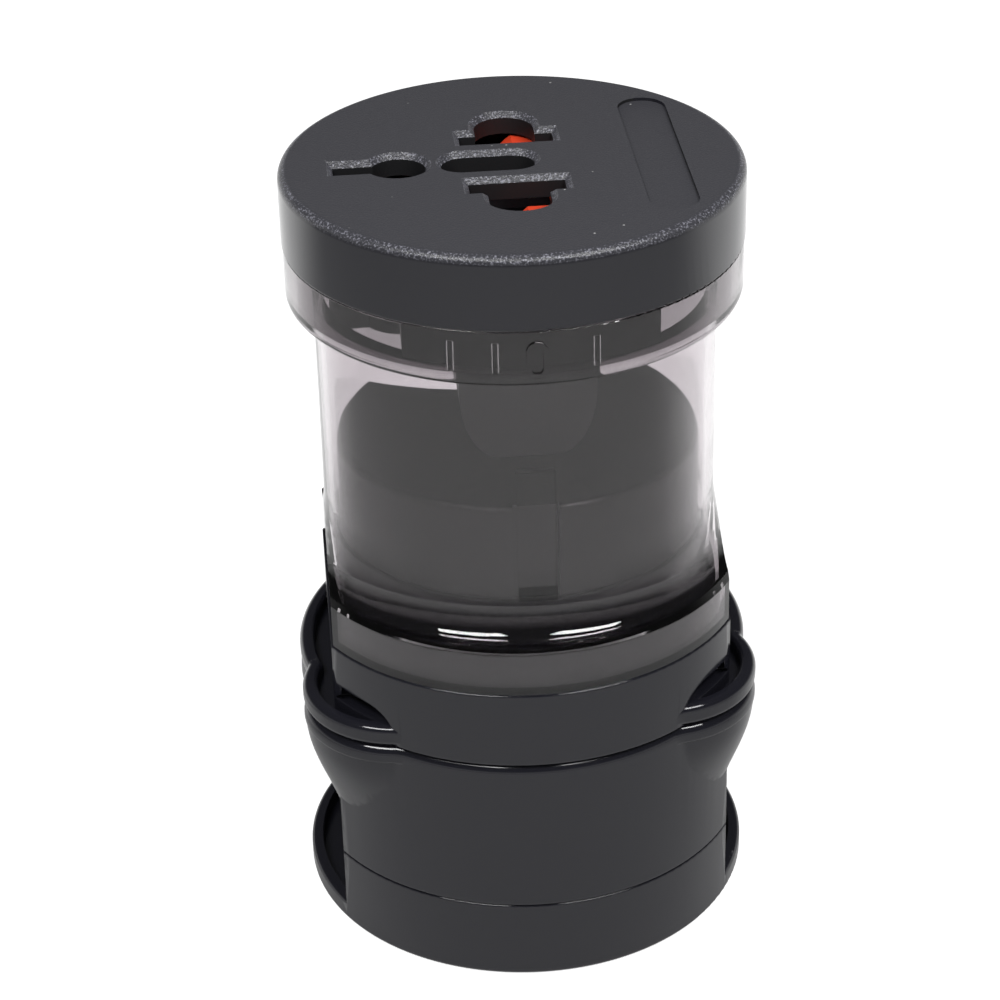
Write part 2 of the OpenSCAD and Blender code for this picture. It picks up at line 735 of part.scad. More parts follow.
// Clear sleeve: foot band on the shared section, hollow curve, tube and collar
module clear_sleeve() {
    color("#9a9590", 0.4) {
        difference() {
            union() {
                intersection() {
                    rotate_extrude()
                        polygon(concat([[0, z_foot], [band_r, z_foot], [band_r, z_band - slope_h]],
                                       sleeve_cove(), [[0, z_band + cove_h]]));
                    translate([-band_x, -panel_r, z_foot]) cube([2 * band_x, 2 * panel_r, sleeve_h]);
                }
                translate([0, 0, z_band]) cylinder(r = tube_out, h = z_collar - z_band + flange_t / 2);
                translate([0, 0, z_collar]) drum(collar_r, collar_h, collar_edge_r, seam_r / 2);
            }
            translate([0, 0, z_collar + flange_t]) cylinder(r = collar_in, h = collar_h);
            translate([0, 0, z_foot]) cylinder(r = tube_in, h = sleeve_h);
            intersection() {
                rotate_extrude() polygon(concat([[0, z_foot - 1], [band_r - band_wall, z_foot - 1]],
                    sleeve_inside(0), [[0, z_band + cove_h]]));
                translate([-band_x + band_wall, -panel_r, z_foot - 1])
                    cube([2 * (band_x - band_wall), 2 * panel_r, sleeve_h]);
            }
        }
        key_rail();
        collar_lug();
    }
}

// Key rail inside the front of the tube
module key_rail() {
    low = z_eu + fit_gap;
    back = [for (p = sleeve_cove()) [p.x - tube_wall / 2, p.y]];
    intersection() {
        difference() {
            rotate_extrude()
                polygon(concat([[0, z_band]], back, [[back[len(back) - 1].x, z_collar], [0, z_collar]]));
            translate([0, 0, -1]) cylinder(r = tube_in - rail_t, h = z_cap + 2);
        }
        translate([-rail_w / 2, -panel_r, low]) cube([rail_w, panel_r, z_eu_top + rail_rise - low]);
    }
}

// Small oval lug and three ribs inside the front of the collar
module collar_lug() {
    lug_h = 4;
    lug_w = 2.2;
    for (turn = rib_turns) rotate([0, 0, turn])
        translate([0, rib_t - rib_r - collar_in, z_collar + flange_t / 2])
            cylinder(r = rib_r, h = collar_h - flange_t - 1);
    translate([0, -collar_r + collar_wall / 2, z_collar + collar_h / 2]) rotate([90, 0, 0])
        linear_extrude(height = collar_wall / 2 + rib_t) difference() {
            stadium(lug_w, lug_h);
            stadium(lug_w - 1, lug_h - 1);
        }
}

// Flat outline with round ends, long way up
module stadium(w, l) {
    square([w, l - w], center = true);
    for (s = [-1, 1]) translate([0, s * (l - w) / 2]) circle(w / 2);
}

// Socket cap: a cup whose face has the socket holes and a bare marking recess
module socket_cap() {
    color(black) difference() {
        union() {
            difference() {
                translate([0, 0, z_cap]) drum(cap_r, cap_h, seam_r, cap_edge_r);
                translate([0, 0, z_cap - 1]) cylinder(r = cap_r - cap_wall, h = cap_h - face_t + 1);
            }
            for (s = [-1, 1]) translate([0, s * head_screw.y, z_carrier])
                cylinder(r = screw_r + boss_wall, h = z_top - face_t / 2 - z_carrier);
        }
        translate([0, 0, z_top]) socket_holes(face_t + 1);
        translate([mark_x, 0, z_top - mark_depth]) linear_extrude(height = 1) stadium(mark_w, mark_l);
        for (s = [-1, 1]) translate([0, s * head_screw.y, z_carrier - 1])
            cylinder(r = screw_r + seat_gap / 2, h = z_face - z_carrier + face_t / 4);
    }
}

// All socket holes, mouths at z = 0
module socket_holes(depth) {
    for (s = [-1, 1]) translate([0, s * hole_pitch / 2, 0]) {
        box_hole(slot_l, slot_w, depth);
        mirror([0, s < 0 ? 1 : 0, 0]) {
            trough(dome_w, dome_reach - hole_pitch / 2 - dome_w / 2, depth);
            translate([0, dome_reach - hole_pitch / 2 - dome_w / 2, 0]) round_hole(dome_w / 2, depth);
        }
    }
    translate([-earth_x, 0, 0]) {
        round_hole(earth_r, depth);
        translate([-(earth_end - earth_x) / 2, 0, 0]) box_hole(earth_end - earth_x, earth_w, depth);
    }
    for (x = [-middle_left + middle_w / 2, middle_right - middle_w / 2]) translate([x, 0, 0])
        round_hole(middle_w / 2, depth);
    translate([-middle_left + middle_w / 2, 0, 0]) rotate([0, 0, -90])
        trough(middle_w, middle_left + middle_right - middle_w, depth);
}

// Contact carrier: plate in the cap, block in the collar, boss and earth tower below
module contact_carrier() {
    bowl = [for (t = [0 : 9 : 90]) [keel_x + (boss_x - keel_x) * cos(t), z_boss + bowl_h * (1 - sin(t))]];
    bowl_left = [for (i = [len(bowl) - 1 : -1 : 0]) [-bowl[i].x, bowl[i].y]];
    color(black) difference() {
        union() {
            translate([0, 0, z_cap]) cylinder(r = carrier_r, h = carrier_t);
            translate([0, 0, z_block])
                plain_d(carrier_r, block_x, z_cap - z_block + carrier_t / 2);
            rotate([90, 0, 0]) linear_extrude(height = 2 * boss_y, center = true)
                polygon(concat([[boss_x, z_cap]], bowl, bowl_left, [[-boss_x, z_cap]]));
            translate([-earth_x, 0, z_tower]) cylinder(r = tower_r + tower_wall, h = z_cap - z_tower);
            translate([-tower_end, -tower_half, z_tower])
                cube([tower_end - earth_x, 2 * tower_half, z_cap - z_tower]);
            translate([shutter_end + spring_l, -post_y, z_cap])
                cube([post_t, 2 * post_y, z_face - z_cap - fit_gap]);
        }
        for (s = [-1, 1]) mirror([0, s < 0 ? 1 : 0, 0]) {
            translate([-pocket_x, pocket_in, z_pocket]) cube([2 * pocket_x, pocket_out - pocket_in, z_top]);
            translate([0, hole_pitch / 2, z_block])
                block(slot_l + 2 * pocket_gap, slot_w + 2 * pocket_gap, z_top);
            translate([0, hole_pitch / 2, 0]) block(blade_w + 2 * seat_gap, blade_t + 2 * seat_gap, z_top);
            translate([head_screw.x, head_screw.y, 0]) {
                cylinder(r = screw_r + seat_gap, h = z_top);
                cylinder(r = screw_head_r + seat_gap, h = z_head_seat);
            }
        }
        translate([-earth_x, 0, z_tower + tower_wall]) cylinder(r = tower_r, h = z_top);
        translate([-earth_end - seat_gap, -earth_w / 2 - seat_gap, z_tower + tower_wall])
            cube([earth_end + seat_gap - earth_x, earth_w + 2 * seat_gap, z_top]);
        translate([-middle_left, -middle_w / 2, z_block]) cube([middle_left + middle_right, middle_w, z_top]);
    }
}

// Flat blade that hangs from the boss, with a root in the pocket
module blade(side) {
    color(brass) translate([0, side * hole_pitch / 2, z_boss]) {
        flat_pin(blade_w, blade_t, blade_l, blade_t / 2);
        block(blade_w, blade_t, pocket_floor + root_h);
    }
}

module live_blade() blade(-1);
module neutral_blade() blade(1);

// Sheet contact in a current pocket, standing on the blade's root
module current_contact(side) {
    low = z_pocket + root_h;
    inner = pocket_in + seat_gap;
    depth = pocket_out - pocket_in - 2 * seat_gap;
    half = pocket_x - seat_gap;
    color(brass) mirror([0, side < 0 ? 1 : 0, 0]) {
        translate([-half, inner, low]) cube([2 * half, depth, sheet]);
        for (x = [-half, half - sheet]) translate([x, inner, low]) cube([sheet, depth, z_cap - low]);
    }
}

module live_contact() current_contact(-1);
module neutral_contact() current_contact(1);

// Split sleeve in the earth tower
module earth_contact() {
    low = z_tower + tower_wall;
    color(brass) translate([-earth_x, 0, low]) difference() {
        cylinder(r = tower_r - seat_gap, h = z_cap - low);
        translate([0, 0, -1]) cylinder(r = tower_r - seat_gap - sheet, h = z_cap);
        translate([-2 * tower_r, -earth_w / 2, -1]) cube([2 * tower_r, earth_w, z_cap]);
    }
}

module head_screws() {
    color(steel) for (s = [-1, 1]) translate([head_screw.x, s * head_screw.y, z_head_seat])
        screw(z_face - 1 - z_head_seat);
}

// Shutter: two ramps behind the current holes, on a yoke
module shutter() {
    rise = z_face - z_shutter - fit_gap;
    pad = 1;
    color("#d8472f") {
        for (s = [-1, 1]) translate([0, s * (ramp_in + ramp_out) / 2, z_shutter]) rotate([90, 0, 0])
            linear_extrude(height = ramp_out - ramp_in, center = true)
                polygon([[-ramp_x, 0], [yoke_x + pad, 0], [yoke_x + pad, rise], [ramp_l - ramp_x, rise],
                         [-ramp_x, shutter_t / 2]]);
        translate([yoke_x, -ramp_out, z_shutter]) cube([shutter_end - yoke_x, 2 * ramp_out, shutter_t]);
        translate([shutter_end - pad, -post_y, z_shutter]) cube([pad, 2 * post_y, rise]);
    }
}

// Return spring between the shutter and the carrier's post
module shutter_spring() {
    sides = 6;
    steps = 12 * spring_turns;
    wire = spring_wire / 2;
    length = spring_l - spring_wire;
    function spot(i, j) =
        let (a = 360 * i / 12, b = 360 * j / sides, r = spring_r + wire * cos(b))
        [wire + length * i / steps + wire * sin(b), r * cos(a), r * sin(a)];
    points = [for (i = [0 : steps], j = [0 : sides - 1]) spot(i, j)];
    skin = [for (i = [0 : steps - 1], j = [0 : sides - 1])
        [i * sides + j, i * sides + (j + 1) % sides, (i + 1) * sides + (j + 1) % sides, (i + 1) * sides + j]];
    first = [for (j = [sides - 1 : -1 : 0]) j];
    last = [for (j = [0 : sides - 1]) steps * sides + j];
    color(steel) translate([shutter_end, 0, (z_shutter + z_face) / 2])
        polyhedron(points, concat(skin, [first, last]));
}

base_cap();
pin_guard();
uk_shell();
uk_plate();
uk_live_pin();
uk_neutral_pin();
uk_earth_pin();
uk_live_contact();
uk_neutral_contact();
uk_screws();
eu_body();
eu_plate();
eu_live_pin();
eu_neutral_pin();
eu_live_contact();
eu_neutral_contact();
eu_screws();
clear_sleeve();
socket_cap();
contact_carrier();
live_blade();
neutral_blade();
live_contact();
neutral_contact();
earth_contact();
head_screws();
shutter();
shutter_spring();
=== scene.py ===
"""Travel plug adapter: the looks of a stacked adapter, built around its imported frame."""

import json
import math

import bpy
from bpy.props import FloatProperty, FloatVectorProperty, PointerProperty, StringProperty
from mathutils import Matrix, Vector


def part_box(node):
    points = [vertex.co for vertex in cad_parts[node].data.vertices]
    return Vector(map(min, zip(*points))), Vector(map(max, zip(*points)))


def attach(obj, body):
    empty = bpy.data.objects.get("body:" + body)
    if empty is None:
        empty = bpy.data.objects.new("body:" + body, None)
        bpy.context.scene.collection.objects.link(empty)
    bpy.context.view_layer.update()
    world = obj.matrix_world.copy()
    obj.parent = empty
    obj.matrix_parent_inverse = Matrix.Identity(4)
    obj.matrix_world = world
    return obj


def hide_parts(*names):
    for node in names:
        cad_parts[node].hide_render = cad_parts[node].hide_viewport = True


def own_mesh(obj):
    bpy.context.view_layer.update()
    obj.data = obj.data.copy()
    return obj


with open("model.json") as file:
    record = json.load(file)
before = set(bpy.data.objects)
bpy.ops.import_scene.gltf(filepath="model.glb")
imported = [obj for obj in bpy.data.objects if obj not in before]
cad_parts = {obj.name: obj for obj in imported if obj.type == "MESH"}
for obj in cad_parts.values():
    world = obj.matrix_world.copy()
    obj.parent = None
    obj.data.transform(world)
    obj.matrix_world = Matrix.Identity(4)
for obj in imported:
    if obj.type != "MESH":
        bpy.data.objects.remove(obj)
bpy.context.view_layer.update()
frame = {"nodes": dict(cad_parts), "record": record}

bl_info = {
    "name": "Travel Plug Adapter",
    "version": (1, 0, 0),
    "blender": (4, 5, 0),
    "location": "View3D > Sidebar > Adapter",
    "description": "Finishes, studio and camera of a stacked travel plug adapter",
    "category": "Object",
}

MM = 0.001
POLES = ("live", "neutral")

# Clean-up of the copied solids
MERGE_DISTANCE = 0.002 * MM
FLAT_ANGLE = math.radians(0.4)
SMOOTH_ANGLE = math.radians(32)
NORMAL_WEIGHT = 80

# Optics of the plastics
ABS_IOR = 1.53
CLEAR_IOR = 1.58
ACETAL_IOR = 1.48
# Width of the blend into the collar's painted shade
TINT_BLEND = 0.5 * MM

# Roughness from the smoothest patch to the dullest; for the cap's wall outside and in its holes,
# and for its face on the flat and on slanted edges
CLEAR_ROUGHNESS = 0.03
ROUGHNESS = {
    "polished": (0.06, 0.15),
    "cap_wall": (0.12, 0.6),
    "cap_face": (0.5, 0.3),
    "plain": (0.3, 0.46),
    "nickel": (0.16, 0.3),
    "brass": (0.22, 0.4),
    "zinc": (0.28, 0.45),
    "acetal": (0.32, 0.42),
}

# Height and strength of the ripple in mouldings and of the face's grain
RIPPLE_DEPTH = 0.3 * MM
POLISHED_RIPPLE = 0.06
CLEAR_RIPPLE = 0.04
GRAIN_DEPTH = 0.08 * MM
GRAIN_STRENGTH = 0.8

# Upward part of the cap's normal, from its side to its face and from a slanted edge to the flat
FACE_TILT = (0.15, 0.6)
FLAT_TILT = (0.93, 0.99)

# Parts of a noise's range: most of it, the rubbed patches and the grains that get a painted highlight
NOISE_SPAN = (0.3, 0.7)
RUB_SPAN = (0.35, 0.75)
PAINTED_GLINT_SPAN = (0.52, 0.68)

# Edge of a speck of dust in its cell, and the share of cells that hold none
SPECK_EDGE = (0.05, 0.09)
SPECK_RARITY = 0.86

RISING = (0.0, 1.0)
FALLING = (1.0, 0.0)
DRAWN_SCALE = (1.0, 1.0, 0.08)
LEVEL = (1.0, 1.0, 0.0)

# Colour sockets of the Mix node
MIX_FIRST = 6
MIX_SECOND = 7
MIX_RESULT = 2

# Glow of the floor: to the eye near the object and far off, and in gloss in front of it and behind
FLOOR_SIZE = 4
FLOOR_REACH = (150 * MM, 500 * MM)
FLOOR_LIFT = (0.8, 1.0)
GLOW_WAY = (0.25, 1.0, 0.0)
GLOW_REACH = (-10 * MM, 110 * MM)
GLOW_LIFT = (0.06, 0.8)

# Light of the studio: in gloss from the horizon up to the ceiling, and on what scatters it
WHITE = (1.0, 1.0, 1.0, 1.0)
SKY_RISE = (0.0, 0.3)
SKY_GLOSS = (0.8, 0.05)
SKY_SCATTER = 0.13

SENSOR_WIDTH = 36
CLIP_START = 10 * MM
LAMP_AIM = Vector((0, 0, 50 * MM))


class AdapterSizes(bpy.types.PropertyGroup):
    """Sizes of the fine detail that the solids leave out."""

    edge: FloatProperty(
        name="Edge softness",
        description="Rounding that the eye sees on the sharp edges of a moulding",
        default=0.15 * MM,
        unit="LENGTH",
    )
    grain: FloatProperty(
        name="Face grain",
        description="Width of a grain of the socket face's texture, drawn coarse enough to show",
        default=0.22 * MM,
        unit="LENGTH",
    )
    dust: FloatProperty(
        name="Dust spacing",
        description="Width of the cells of the socket face that may hold a speck of dust",
        default=1.6 * MM,
        unit="LENGTH",
    )
    holes: FloatProperty(
        name="Hole reach",
        description="Radius within which the upright walls of the cap belong to its holes",
        default=21 * MM,
        unit="LENGTH",
    )
    ripple: FloatProperty(
        name="Flow ripple",
        description="Spacing of the faint ripple in a polished moulding",
        default=7 * MM,
        unit="LENGTH",
    )
    rub: FloatProperty(
        name="Rubbed patches",
        description="Spacing of the duller patches on a polished moulding",
        default=3 * MM,
        unit="LENGTH",
    )
    # The collar's darker smoke is painted shade under the dark cap
    collar: FloatProperty(
        name="Collar height",
        description="Height of the sleeve's collar, where the smoke looks deeper",
        default=6.2 * MM,
        unit="LENGTH",
    )


class AdapterColours(bpy.types.PropertyGroup):
    """Colours of the materials, as sRGB hex."""

    polished: StringProperty(name="Polished black", description="Outer mouldings", default="#1a1a20")
    textured: StringProperty(name="Textured black", description="Socket face", default="#3e3e43")
    # Painted highlight: a light grey on grains of the face's slanted edges, standing for the sparkle of light
    # on them
    glint: StringProperty(name="Glint", description="Grain on the face's slanted edges", default="#8c8c96")
    dust: StringProperty(name="Dust", description="Specks on the socket face", default="#b9b9b9")
    plain: StringProperty(name="Plain black", description="Inner mouldings", default="#0d0d10")
    smoke: StringProperty(name="Smoky clear", description="Clear sleeve", default="#dcd7da")
    # Painted shade: the collar's darker smoke stands for the shade under the dark cap
    deep_smoke: StringProperty(name="Deep smoke", description="Clear sleeve's collar", default="#9f9a9d")
    nickel: StringProperty(name="Nickel", description="Plated pins and blades", default="#cfc8ba")
    brass: StringProperty(name="Brass", description="Pressed contacts", default="#cda95c")
    zinc: StringProperty(name="Zinc", description="Screws and spring", default="#aeb1b2")
    red: StringProperty(name="Shutter red", description="Shutter", default="#e8492b")
    floor: StringProperty(name="Floor", description="Studio floor", default="#dcdcdc")


class AdapterStage(bpy.types.PropertyGroup):
    """Camera and light."""

    aim: FloatVectorProperty(
        name="Aim",
        description="Point on the column's axis that the camera looks at",
        default=(0, 0, 43.8 * MM),
        subtype="XYZ",
        unit="LENGTH",
    )
    distance: FloatProperty(
        name="Distance", description="Camera to aim", default=318.65 * MM, unit="LENGTH"
    )
    azimuth: FloatProperty(
        name="Azimuth",
        description="Camera's turn round the column from straight in front",
        default=math.radians(-5),
        subtype="ANGLE",
    )
    elevation: FloatProperty(
        name="Elevation", description="Camera above the horizon", default=math.radians(30.14), subtype="ANGLE"
    )
    roll: FloatProperty(
        name="Roll", description="Tilt of the picture", default=math.radians(-1.202), subtype="ANGLE"
    )
    lens: FloatProperty(name="Lens", description="Focal length in mm on a 36 mm sensor", default=102.5)
    shift: FloatVectorProperty(
        name="Shift", description="Lens shift as a share of the picture", size=2, default=(-0.01934, 0.02221)
    )
    lamp: FloatProperty(name="Softbox power", description="Power of each softbox in watts", default=0.9)
    lamp_size: FloatVectorProperty(
        name="Softbox size", description="Width and height of each softbox", size=2, default=(0.2, 0.075)
    )
    lamp_place: FloatVectorProperty(
        name="Softbox place",
        description="Place of the right softbox; the left one mirrors it",
        default=(0.156, -0.2, 0.385),
        subtype="XYZ",
        unit="LENGTH",
    )


def settings():
    """The three property groups of the scene."""
    scene = bpy.context.scene
    return scene.adapter_sizes, scene.adapter_colours, scene.adapter_stage


def linear(code):
    """Linear RGBA from an sRGB hex code."""
    parts = [int(code[i : i + 2], 16) / 255 for i in (1, 3, 5)]
    curve = [p / 12.92 if p <= 0.04045 else ((p + 0.055) / 1.055) ** 2.4 for p in parts]
    return (*curve, 1.0)


def add(tree, kind, options=None, inputs=None):
    """Adds a node, sets its options, and links or fills its inputs."""
    made = tree.nodes.new(kind)
    for name, value in (options or {}).items():
        setattr(made, name, value)
    for name, value in (inputs or {}).items():
        if isinstance(value, bpy.types.NodeSocket):
            tree.links.new(value, made.inputs[name])
        else:
            made.inputs[name].default_value = value
    return made


def ramp(tree, value, source, target, kind="LINEAR"):
    """Maps one range of a value to another, and stops at its ends."""
    made = add(tree, "ShaderNodeMapRange", {"interpolation_type": kind}, {
        "Value": value, "From Min": source[0], "From Max": source[1],
        "To Min": target[0], "To Max": target[1]})
    return made.outputs["Result"]


def noise(tree, vector, size, detail):
    """Noise whose cells are the given size."""
    made = add(tree, "ShaderNodeTexNoise", inputs={"Vector": vector, "Scale": 1.0 / size, "Detail": detail})
    return made.outputs["Fac"]


def calculate(tree, operation, first, second):
    """Result of an operation on two values."""
    return add(tree, "ShaderNodeMath", {"operation": operation}, {0: first, 1: second}).outputs[0]


def on_vector(tree, operation, inputs):
    """Outputs of an operation on vectors."""
    return add(tree, "ShaderNodeVectorMath", {"operation": operation}, inputs).outputs


def axes_of(tree, vector):
    """X, Y and Z of a vector or a colour."""
    return add(tree, "ShaderNodeSeparateXYZ", inputs={"Vector": vector}).outputs


def mix_value(tree, factor, first, second):
    """A value between two others."""
    made = add(tree, "ShaderNodeMix", {"data_type": "FLOAT"}, {"Factor": factor, "A": first, "B": second})
    return made.outputs[0]


def mix_colour(tree, factor, first, second):
    """A colour between two others."""
    made = add(tree, "ShaderNodeMix", {"data_type": "RGBA"}, {
        "Factor": factor, MIX_FIRST: first, MIX_SECOND: second})
    return made.outputs[MIX_RESULT]


def bump(tree, strength, depth, height, **more):
    """A normal roughened by a height."""
    made = add(tree, "ShaderNodeBump", inputs={
        "Strength": strength, "Distance": depth, "Height": height, **more})
    return made.outputs["Normal"]


def start_material(name):
    """An empty material, its tree and its coordinates."""
    material = bpy.data.materials.new(name)
    material.use_nodes = True
    tree = material.node_tree
    tree.nodes.clear()
    place = add(tree, "ShaderNodeTexCoord").outputs
    return material, tree, place


def end_material(material, tree, shader):
    """Joins the shader to the material's output."""
    add(tree, "ShaderNodeOutputMaterial", inputs={"Surface": shader.outputs[0]})
    return material


def polished_abs():
    """ABS moulded in a polished tool: a dark mirror skin with faint flow ripple and rubbed patches."""
    sizes, colours, _ = settings()
    material, tree, place = start_material("polished_abs")
    ripple = noise(tree, place["Object"], size=sizes.ripple, detail=1.0)
    rub = noise(tree, place["Object"], size=sizes.rub, detail=5.0)
    gloss = ramp(tree, rub, RUB_SPAN, ROUGHNESS["polished"])
    soft = add(tree, "ShaderNodeBevel", {"samples": 4}, {"Radius": sizes.edge})
    normal = bump(tree, POLISHED_RIPPLE, RIPPLE_DEPTH, ripple, Normal=soft.outputs["Normal"])
    shader = add(tree, "ShaderNodeBsdfPrincipled", inputs={
        "Base Color": linear(colours.polished), "IOR": ABS_IOR, "Roughness": gloss, "Normal": normal})
    return end_material(material, tree, shader)


def dust_specks(tree, place, spacing):
    """Mask of a few small specks of dust."""
    cells = add(tree, "ShaderNodeTexVoronoi", inputs={
        "Vector": place["Object"], "Scale": 1.0 / spacing, "Randomness": 1.0}).outputs
    speck = ramp(tree, cells["Distance"], SPECK_EDGE, FALLING)
    rare = calculate(tree, "GREATER_THAN", axes_of(tree, cells["Color"])["X"], SPECK_RARITY)
    return calculate(tree, "MULTIPLY", speck, rare)


def textured_abs():
    """ABS from a spark-eroded tool on top and a polished one at the side: a grey grain that catches dust.
    Grains on its slanted edges get a painted highlight, and the walls of its holes a darker black as painted
    shade.
    """
    sizes, colours, _ = settings()
    material, tree, place = start_material("textured_abs")
    up = axes_of(tree, place["Normal"])["Z"]
    face = ramp(tree, up, FACE_TILT, RISING)
    slant = ramp(tree, up, FLAT_TILT, FALLING)
    level = on_vector(tree, "MULTIPLY", {0: place["Object"], 1: LEVEL})["Vector"]
    reach = on_vector(tree, "LENGTH", {0: level})["Value"]
    in_shaded_holes = calculate(tree, "LESS_THAN", reach, sizes.holes)
    grain = noise(tree, place["Object"], size=sizes.grain, detail=2.0)
    # Painted shade: the walls of the holes get the darker plain black, which stands for the shade in the
    # holes; their roughness below is the real finish
    side = mix_colour(tree, in_shaded_holes, linear(colours.polished), linear(colours.plain))
    tone = mix_colour(tree, face, side, linear(colours.textured))
    # Painted highlight: grains on the slanted edges of the face are painted light grey, standing for the
    # light that sparkles on them
    edge = calculate(tree, "MULTIPLY", slant, face)
    glint = calculate(tree, "MULTIPLY", ramp(tree, grain, PAINTED_GLINT_SPAN, RISING), edge)
    with_painted_glint = mix_colour(tree, glint, tone, linear(colours.glint))
    dust = calculate(tree, "MULTIPLY", dust_specks(tree, place, sizes.dust), face)
    dusty = mix_colour(tree, dust, with_painted_glint, linear(colours.dust))
    skin = mix_value(tree, in_shaded_holes, *ROUGHNESS["cap_wall"])
    grit = mix_value(tree, slant, *ROUGHNESS["cap_face"])
    rough = mix_value(tree, face, skin, grit)
    normal = bump(tree, GRAIN_STRENGTH, GRAIN_DEPTH, calculate(tree, "MULTIPLY", grain, face))
    shader = add(tree, "ShaderNodeBsdfPrincipled", inputs={
        "Base Color": dusty, "IOR": ABS_IOR, "Roughness": rough, "Normal": normal})
    return end_material(material, tree, shader)


def plain_abs():
    """ABS from a plain tool: a soft dull black with a fine uneven skin."""
    _, colours, _ = settings()
    material, tree, place = start_material("plain_abs")
    skin = noise(tree, place["Object"], size=0.5 * MM, detail=3.0)
    rough = ramp(tree, skin, NOISE_SPAN, ROUGHNESS["plain"])
    shader = add(tree, "ShaderNodeBsdfPrincipled", inputs={
        "Base Color": linear(colours.plain), "IOR": ABS_IOR, "Roughness": rough})
    return end_material(material, tree, shader)


def smoky_polycarbonate():
    """Polycarbonate moulded clear with a smoky colour and a faintly wavy skin; the collar, under the cap, is
    darker as painted shade.
    """
    sizes, colours, _ = settings()
    material, tree, place = start_material("smoky_polycarbonate")
    ripple = noise(tree, place["Object"], size=sizes.ripple, detail=1.0)
    normal = bump(tree, CLEAR_RIPPLE, RIPPLE_DEPTH, ripple)
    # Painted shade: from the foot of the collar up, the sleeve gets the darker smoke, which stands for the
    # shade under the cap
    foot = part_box("clear_sleeve")[1].z - sizes.collar
    height = axes_of(tree, place["Object"])["Z"]
    collar = ramp(tree, height, (foot - TINT_BLEND, foot + TINT_BLEND), RISING)
    smoke_and_painted_shade = mix_colour(tree, collar, linear(colours.smoke), linear(colours.deep_smoke))
    shader = add(tree, "ShaderNodeBsdfPrincipled", inputs={
        "Base Color": smoke_and_painted_shade, "IOR": CLEAR_IOR, "Roughness": CLEAR_ROUGHNESS,
        "Transmission Weight": 1.0, "Normal": normal})
    return end_material(material, tree, shader)


def metal(name, code, roughness, line):
    """A plated or pressed metal: fine drawn lines along Z that blur its reflections."""
    material, tree, place = start_material(name)
    drawn = add(tree, "ShaderNodeMapping", inputs={"Vector": place["Object"], "Scale": DRAWN_SCALE})
    lines = noise(tree, drawn.outputs["Vector"], size=line, detail=3.0)
    rough = ramp(tree, lines, NOISE_SPAN, roughness)
    shader = add(tree, "ShaderNodeBsdfPrincipled", inputs={
        "Base Color": linear(code), "Metallic": 1.0, "Roughness": rough})
    return end_material(material, tree, shader)


def nickel_plate():
    """Nickel plate on brass pins: bright, slightly warm."""
    return metal("nickel_plate", settings()[1].nickel, ROUGHNESS["nickel"], line=0.3 * MM)


def pressed_brass():
    """Brass strip as pressed: yellow with soft rolling lines."""
    return metal("pressed_brass", settings()[1].brass, ROUGHNESS["brass"], line=0.4 * MM)


def zinc_plate():
    """Zinc plate on steel screws: pale and a little cloudy."""
    return metal("zinc_plate", settings()[1].zinc, ROUGHNESS["zinc"], line=0.3 * MM)


def red_acetal():
    """Acetal moulded red-orange: waxy, evenly soft."""
    _, colours, _ = settings()
    material, tree, place = start_material("red_acetal")
    skin = noise(tree, place["Object"], size=0.8 * MM, detail=2.0)
    rough = ramp(tree, skin, NOISE_SPAN, ROUGHNESS["acetal"])
    shader = add(tree, "ShaderNodeBsdfPrincipled", inputs={
        "Base Color": linear(colours.red), "IOR": ACETAL_IOR, "Roughness": rough})
    return end_material(material, tree, shader)


FINISHES = {
    "black_gloss": polished_abs,
    "black_satin": textured_abs,
    "black_matt": plain_abs,
    "smoky_clear": smoky_polycarbonate,
    "pin_brass": nickel_plate,
    "contact_brass": pressed_brass,
    "screw_steel": zinc_plate,
    "shutter_red": red_acetal,
}


def finish_of(slot):
    """The material of a slot, made once."""
    maker = FINISHES[slot]
    return bpy.data.materials.get(maker.__name__) or maker()


def pick(piece):
    """Makes a piece the only selected and active object."""
    bpy.ops.object.select_all(action="DESELECT")
    piece.select_set(True)
    bpy.context.view_layer.objects.active = piece


def apply_modifier(piece, kind, **options):
    """Adds a modifier with its options and applies it."""
    made = piece.modifiers.new(kind.title(), kind)
    for name, value in options.items():
        setattr(made, name, value)
    bpy.ops.object.modifier_apply(modifier=made.name)


def body_of_node(node):
    """Name of the body that a node belongs to."""
    bodies = frame["record"]["behaviour"]["bodies"]
    return next(body for body, nodes in bodies.items() if node in nodes)


def slot_of_node(node):
    """Name of the record's material slot of a node."""
    return next(row["material_slot"] for row in frame["record"]["subparts"] if row["node"] == node)


def finished_copy(node, name):
    """A merged copy of a solid with smooth shading and its finish, which then stands for it."""
    piece = bpy.data.objects.new(name, frame["nodes"][node].data.copy())
    bpy.context.scene.collection.objects.link(piece)
    pick(piece)
    bpy.ops.object.mode_set(mode="EDIT")
    bpy.ops.mesh.select_all(action="SELECT")
    bpy.ops.mesh.remove_doubles(threshold=MERGE_DISTANCE)
    bpy.ops.mesh.dissolve_limited(angle_limit=FLAT_ANGLE)
    bpy.ops.object.mode_set(mode="OBJECT")
    if piece.data.has_custom_normals:
        bpy.ops.mesh.customdata_custom_splitnormals_clear()
    bpy.ops.object.shade_smooth_by_angle(angle=SMOOTH_ANGLE)
    apply_modifier(piece, "WEIGHTED_NORMAL", keep_sharp=True, weight=NORMAL_WEIGHT)
    piece.data.materials.clear()
    piece.data.materials.append(finish_of(slot_of_node(node)))
    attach(piece, body_of_node(node))
    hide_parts(node)
    return piece


def squeeze_spring(piece):
    """Gives the return spring a mesh of its own; it does not shorten it."""
    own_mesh(piece)


